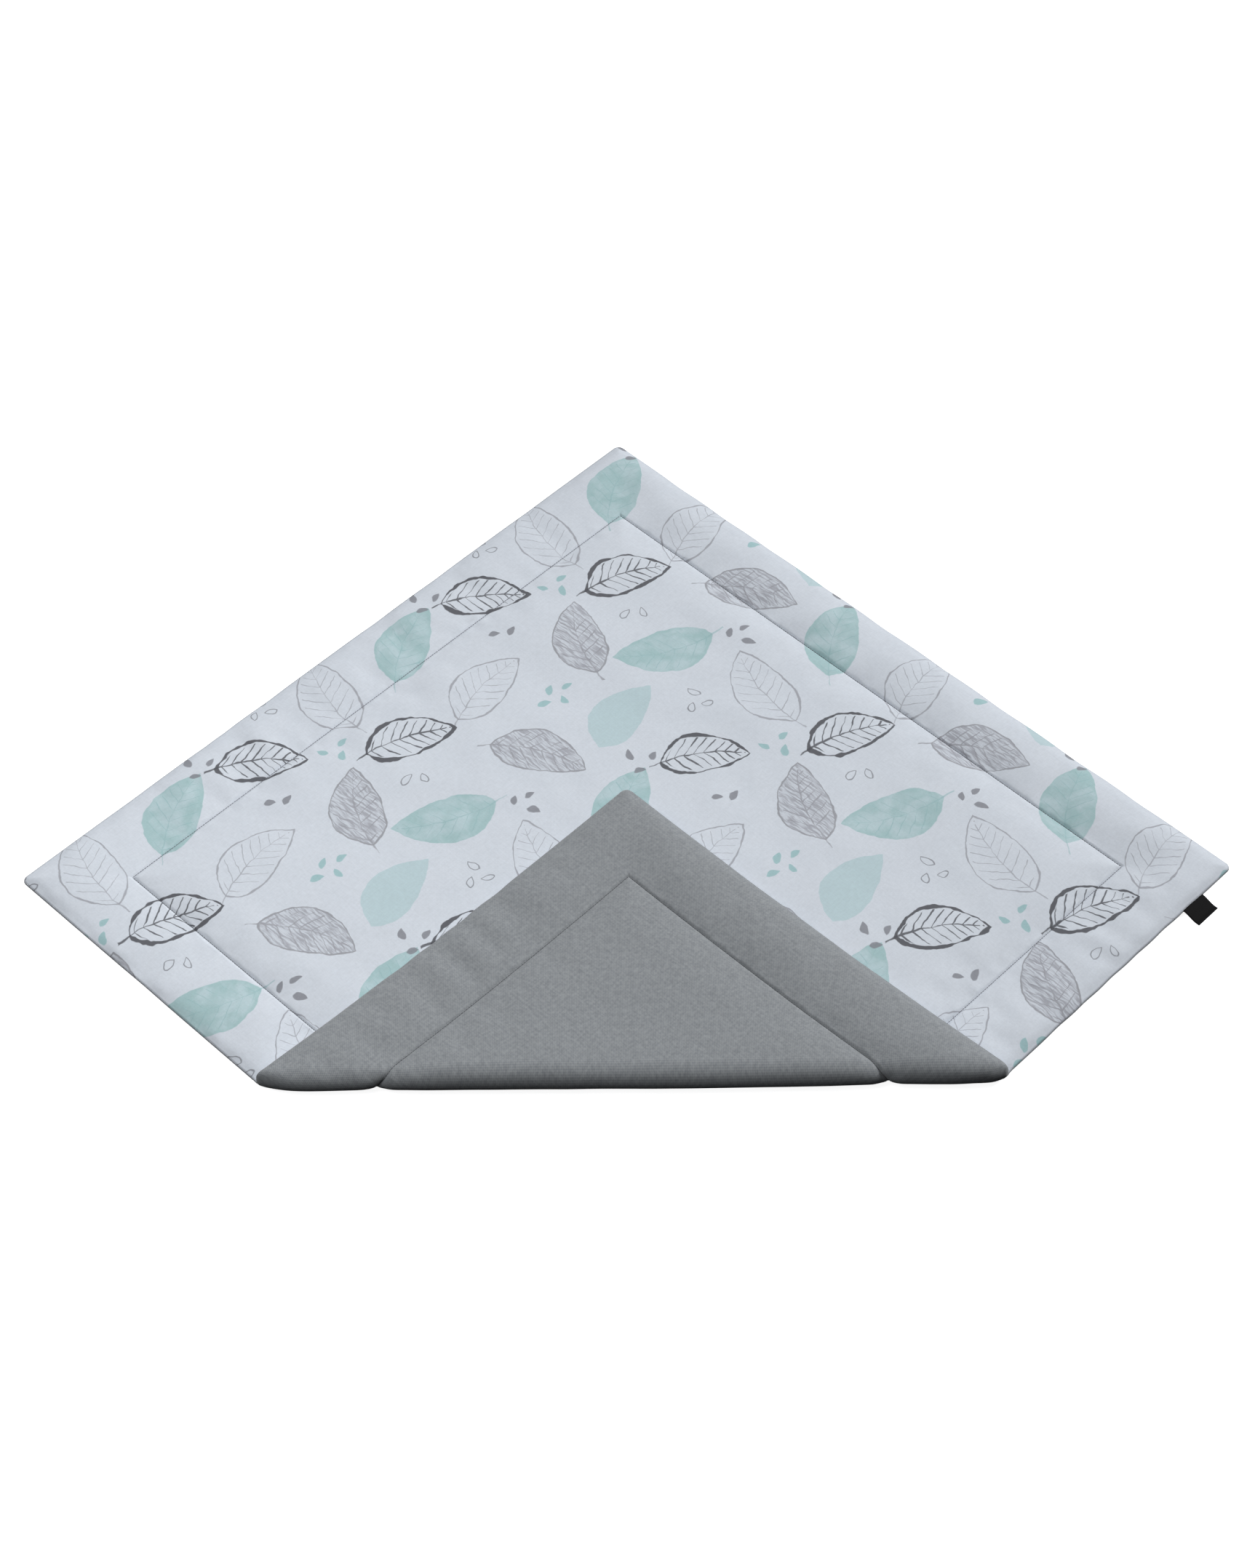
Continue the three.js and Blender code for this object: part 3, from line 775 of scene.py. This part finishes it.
def satinRibbon():
    # Woven polyester ribbon: close ribs across its length, with a low satin shine. The ribs are
    # 1.6 mm apart, a few times the real ones, so that they show.
    material, tree = newMaterial("black woven ribbon")
    cloth = addNode(tree, "ShaderNodeUVMap", {"uv_map": "cloth"})
    ribs = addNode(tree, "ShaderNodeTexWave", {"Scale": 200.0, "bands_direction": "Y"}, {"Vector": cloth})
    bump = addNode(tree, "ShaderNodeBump", {"Strength": 0.3, "Distance": 0.0003},
                   {"Height": ribs.outputs["Fac"]})
    # painted shade: the ribbon is darker in the hollows between its ribs
    tone = addNode(tree, "ShaderNodeMix",
                   {"data_type": "RGBA", 6: colour("#030303"), 7: colour("#09090A")},
                   {0: ribs.outputs["Fac"]})
    shader = addNode(tree, "ShaderNodeBsdfPrincipled", {"Roughness": 0.65, "Specular IOR Level": 0.12},
                     {"Base Color": tone.outputs[2], "Normal": bump})
    addNode(tree, "ShaderNodeOutputMaterial", {}, {"Surface": shader})
    return material


def finishPiece(name, bm, material, slot, *nodes):
    piece = newObject(name, bm)
    polygons = piece.data.polygons
    polygons.foreach_set("use_smooth", [True] * len(polygons))
    piece.data.materials.append(material)
    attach(piece, "root")
    if nodes:
        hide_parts(*nodes)
    return piece


# The covers: a flat square of cloth, finer at its edge, at the stitched line and at the fold
cover = {
    # inset from, to, and steps between
    "zones": [
        (0.0, 0.020, 7),
        (0.020, 0.104, 13),
        (0.104, 0.116, 12),
        (0.116, 0.124, 3),
        (0.124, 0.6, 74),
    ],
    "closest": 0.0004,  # of a line of the fold to a point that is there
    "thickness": 0.0008,
}


def coverMesh(face):
    line = [half - (start + (end - start) * i / steps)
            for start, end, steps in cover["zones"] for i in range(steps)]
    bm, _ = clothSquare(line)
    across = Vector((diagonal, diagonal, 0))
    for i in range(fold["steps"] + 1):
        distance = fold["start"] - turnLength * i / fold["steps"]
        bmesh.ops.bisect_plane(bm, geom=bm.verts[:] + bm.edges[:] + bm.faces[:], dist=cover["closest"],
                               plane_co=across * distance, plane_no=across)
    uv = bm.loops.layers.uv.new("cloth")
    for f in bm.faces:
        for loop in f.loops:
            loop[uv].uv = loop.vert.co.xy
    for v in bm.verts:
        v.co = lay(v.co.x, v.co.y, face)
    if not face:
        bmesh.ops.reverse_faces(bm, faces=bm.faces[:])
    return bm


def makeCover(name, face, material, slot, node):
    piece = finishPiece(name, coverMesh(face), material, slot, node)
    shell = piece.modifiers.new("cloth", "SOLIDIFY")
    shell.thickness = cover["thickness"]
    shell.offset = -1
    return piece


makeCover("print_cover", 1, printedCotton(), "printed_cotton", "print_panel")
makeCover("backing_cover", 0, greyCotton(), "grey_cotton", "backing_panel")
print("stage: covers made")

# The quilting stitches, on both sides of the mat
stitching = {
    "pitch": 0.0042,
    "length": 0.0040,
    "radius": 0.0005,
    "lift": 0.0007,
    # grey thread, drawn darker to paint in the shadow of the groove that the stitches draw in
    "printThreadAndShadow": "#6F7279",
    "backingThreadAndShadow": "#63676A",
}


def stitchMesh(face):
    bm = bmesh.new()
    one = bpy.data.meshes.new("stitch")
    reach = half - mat["stitchInset"]
    count = round(2 * reach / stitching["pitch"])
    for side in range(4):
        for i in range(count):
            ends = []
            for end in (-0.5, 0.5):
                along = -reach + (i + 0.5) * stitching["pitch"] + end * stitching["length"]
                ends.append(lay(*placeOn(side, along, reach), face, stitching["lift"]))
            way = ends[1] - ends[0]
            turned = way.to_track_quat("X", "Z").to_matrix().to_4x4()
            size = Matrix.Diagonal((way.length / 2, stitching["radius"], stitching["radius"], 1))
            stitch = bmesh.new()
            bmesh.ops.create_uvsphere(stitch, u_segments=6, v_segments=4, radius=1,
                                      matrix=Matrix.Translation((ends[0] + ends[1]) / 2) @ turned @ size)
            stitch.to_mesh(one)
            stitch.free()
            bm.from_mesh(one)
    bpy.data.meshes.remove(one)
    return bm


finishPiece("print_stitches", stitchMesh(1), spunThread("print stitches", stitching["printThreadAndShadow"]),
            "printed_cotton")
finishPiece("backing_stitches", stitchMesh(0), spunThread("backing stitches", stitching["backingThreadAndShadow"]),
            "grey_cotton")
print("stage: stitches made")

# The ribbon tab: out along the top, round the end and back underneath
ribbon = {
    "along": -0.512,
    "width": 0.042,
    "out": 0.028,
    "inside": 0.005,
    "insideSlope": 0.12,
    "ply": 0.00045,
    "apart": 0.0003,
    "clearance": 0.0002,  # under it, where it rests on the floor
    "landing": 0.85,  # how far out it comes down, as a share
    "steps": 14,
    "endSteps": 8,
    "acrossSteps": 22,
}


def ribbonLevel(x):
    resting = ribbon["ply"] + ribbon["apart"] / 2 + ribbon["clearance"]
    if x < 0:
        return mat["edgeMid"] - x * ribbon["insideSlope"]
    return mat["edgeMid"] + (resting - mat["edgeMid"]) * smooth(x / (ribbon["out"] * ribbon["landing"]))


def ribbonProfile():
    steps, turns = ribbon["steps"], ribbon["endSteps"]
    apart = (ribbon["ply"] + ribbon["apart"]) / 2
    line = [-ribbon["inside"] + (ribbon["out"] + ribbon["inside"]) * i / steps for i in range(steps + 1)]
    profile = [(x, ribbonLevel(x) + apart) for x in line]
    end = ribbonLevel(ribbon["out"])
    for i in range(1, turns):
        angle = math.pi * (0.5 - i / turns)
        profile.append((ribbon["out"] + apart * math.cos(angle), end + apart * math.sin(angle)))
    return profile + [(x, ribbonLevel(x) - apart) for x in reversed(line)]


def ribbonMesh():
    profile = ribbonProfile()
    lengths = [0.0]
    for (x0, z0), (x1, z1) in zip(profile, profile[1:]):
        lengths.append(lengths[-1] + math.hypot(x1 - x0, z1 - z0))
    bm = bmesh.new()
    bmesh.ops.create_grid(bm, x_segments=len(profile) - 1, y_segments=ribbon["acrossSteps"], size=1)
    uv = bm.loops.layers.uv.new("cloth")
    rows = {v: round((v.co.x + 1) / 2 * (len(profile) - 1)) for v in bm.verts}
    for f in bm.faces:
        for loop in f.loops:
            loop[uv].uv = (loop.vert.co.y * ribbon["width"] / 2, lengths[rows[loop.vert]])
    out, along = Vector((diagonal, -diagonal, 0)), Vector((-diagonal, -diagonal, 0))
    for v in bm.verts:
        x, z = profile[rows[v]]
        place = ribbon["along"] - v.co.y * ribbon["width"] / 2
        v.co = matCentre + out * (half + x) + along * place + Vector((0, 0, z))
    return bm, lengths[-1]


bm, ribbonLength = ribbonMesh()
tab = finishPiece("ribbon", bm, satinRibbon(), "black_ribbon", "ribbon_tab")
shell = tab.modifiers.new("ribbon", "SOLIDIFY")
shell.thickness = ribbon["ply"]
shell.offset = 0
print("stage: ribbon made")


# The stage: a plain pale floor, a key from the right, soft light from above, and faint light
# all round that is darker towards the front right
stage = {
    "floor": "#F4F4F5",
    "floorGlow": 0.90,
    "floorSize": 8,
    "bounce": "#1E1E20",
    "world": 0.155,
    "worldShade": "#F4F6FA",
    "darker": (0.6, -0.8, 0),
    "backdrop": "#FFFFFF",
    "lights": [
        # name, place, aim, size, watts
        ("key", (11.6, 7.3, 9.6), (0, 0.1, 0), 6.8, 2170),
        ("overhead", (-1.15, -0.5, 2.2), (-0.3, 0.0, 0), 1.8, 23),
    ],
}


def studioFloor():
    # Matt paper. What it throws back onto the mat is that of a darker floor, as in the photo.
    material, tree = newMaterial("matt studio floor")
    pale = addNode(tree, "ShaderNodeBsdfPrincipled",
                   {"Base Color": colour(stage["floor"]), "Roughness": 0.9,
                    "Emission Color": colour(stage["backdrop"]), "Emission Strength": stage["floorGlow"]})
    dark = addNode(tree, "ShaderNodeBsdfDiffuse", {"Color": colour(stage["bounce"])})
    path = addNode(tree, "ShaderNodeLightPath")
    seen = addNode(tree, "ShaderNodeMixShader", {}, {0: path.outputs["Is Camera Ray"], 1: dark, 2: pale})
    addNode(tree, "ShaderNodeOutputMaterial", {}, {"Surface": seen})
    return material


def makeFloor():
    bm = bmesh.new()
    bmesh.ops.create_grid(bm, x_segments=1, y_segments=1, size=stage["floorSize"])
    floor = newObject("floor", bm)
    floor.data.materials.append(studioFloor())
    floor.location.z = cadBox[0].z


def makeWorld():
    world = bpy.data.worlds.new("studio")
    world.use_nodes = True
    tree = world.node_tree
    tree.nodes.clear()
    way = addNode(tree, "ShaderNodeTexCoord")
    dark = addNode(tree, "ShaderNodeVectorMath", {"operation": "DOT_PRODUCT", 1: stage["darker"]},
                   {0: way.outputs["Generated"]})
    strength = addNode(tree, "ShaderNodeMapRange",
                       {"From Min": -1.0, "From Max": 1.0, "To Min": 2 * stage["world"], "To Max": 0.0},
                       {"Value": dark})
    light = addNode(tree, "ShaderNodeBackground", {"Color": colour(stage["worldShade"])},
                    {"Strength": strength})
    pale = addNode(tree, "ShaderNodeBackground", {"Color": colour(stage["backdrop"])})
    path = addNode(tree, "ShaderNodeLightPath")
    seen = addNode(tree, "ShaderNodeMixShader", {}, {0: path.outputs["Is Camera Ray"], 1: light, 2: pale})
    addNode(tree, "ShaderNodeOutputWorld", {}, {"Surface": seen})
    bpy.context.scene.world = world


def makeLights():
    for name, place, aim, size, watts in stage["lights"]:
        data = bpy.data.lights.new(name, "AREA")
        data.energy = watts
        data.size = size
        lamp = bpy.data.objects.new(name, data)
        lamp.location = place
        lamp.rotation_euler = (Vector(aim) - Vector(place)).to_track_quat("-Z", "Y").to_euler()
        bpy.context.scene.collection.objects.link(lamp)


# The camera, at the photo's angle: how far round, how high, how far, and how it leans
view = {
    "round": -1.3635,
    "up": 50.518,
    "away": 4.849,
    "lean": 0.451,
    "lens": 77.52,
    "sensor": 36,
    "aim": (0.0021, 0.1688, 0),
}


def makeCamera():
    around, up = math.radians(view["round"]), math.radians(view["up"])
    back = Vector((math.sin(around) * math.cos(up), -math.cos(around) * math.cos(up), math.sin(up)))
    data = bpy.data.cameras.new("camera")
    data.lens = view["lens"]
    data.sensor_width = view["sensor"]
    camera = bpy.data.objects.new("camera", data)
    camera.location = matCentre + Vector(view["aim"]) + back * view["away"]
    lean = Matrix.Rotation(math.radians(view["lean"]), 4, "Z")
    camera.rotation_euler = ((-back).to_track_quat("-Z", "Y").to_matrix().to_4x4() @ lean).to_euler()
    bpy.context.scene.collection.objects.link(camera)
    bpy.context.scene.camera = camera


makeFloor()
makeWorld()
makeLights()
makeCamera()
bpy.context.scene.view_settings.view_transform = "Standard"
print("stage: floor, light and camera made")
